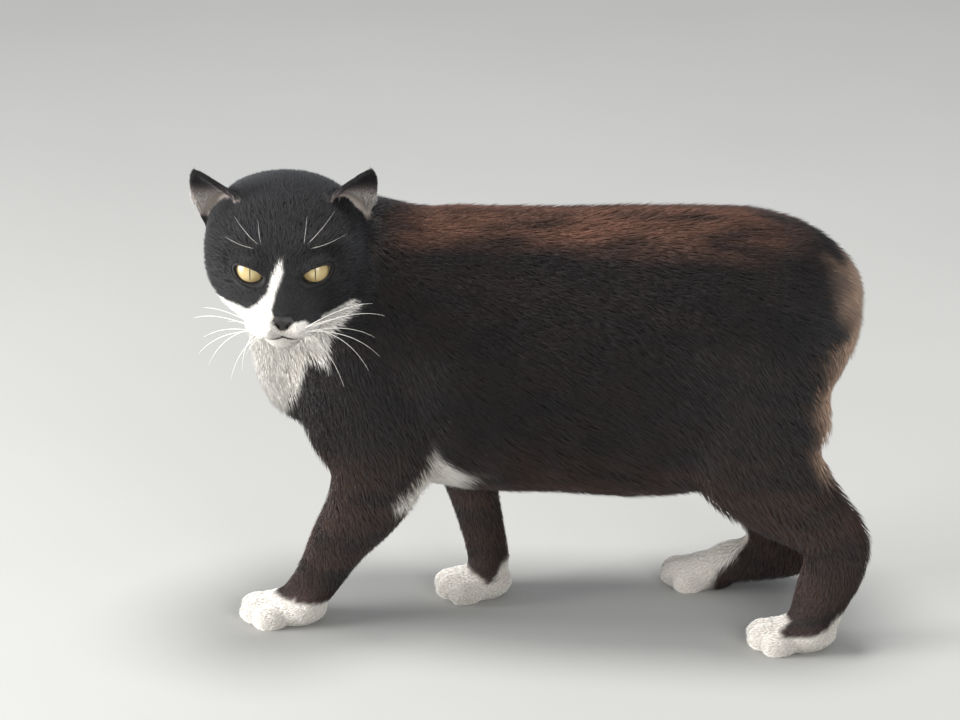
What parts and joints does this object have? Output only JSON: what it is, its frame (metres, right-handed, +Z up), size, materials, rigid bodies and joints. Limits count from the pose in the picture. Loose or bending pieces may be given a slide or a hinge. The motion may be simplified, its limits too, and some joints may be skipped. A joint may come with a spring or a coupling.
{
  "type": "manx cat",
  "caption": "Life-size tailless black and white cat, a still model, walking with its head turned to its left.",
  "frame": {"origin": "floor point under the middle of the whole cat", "axes": "-X the way the cat walks, -Y to its left side, +Z up"},
  "size_m": [0.4212, 0.1664, 0.3085],
  "materials": {
    "black_coat": "short matt fur",
    "eye": "polished glass eye"
  },
  "bodies": {
    "root": {"belly": "black_coat", "chest": "black_coat", "ear_left": "black_coat", "ear_right": "black_coat", "eye_left": "eye", "eye_right": "eye", "forearm_left": "black_coat", "forearm_right": "black_coat", "forepaw_left": "black_coat", "forepaw_right": "black_coat", "head": "black_coat", "hind_paw_left": "black_coat", "hind_paw_right": "black_coat", "metatarsus_left": "black_coat", "metatarsus_right": "black_coat", "neck": "black_coat", "rump": "black_coat", "shank_left": "black_coat", "shank_right": "black_coat", "thigh_left": "black_coat", "thigh_right": "black_coat", "upper_arm_left": "black_coat", "upper_arm_right": "black_coat"}
  },
  "joints": []
}
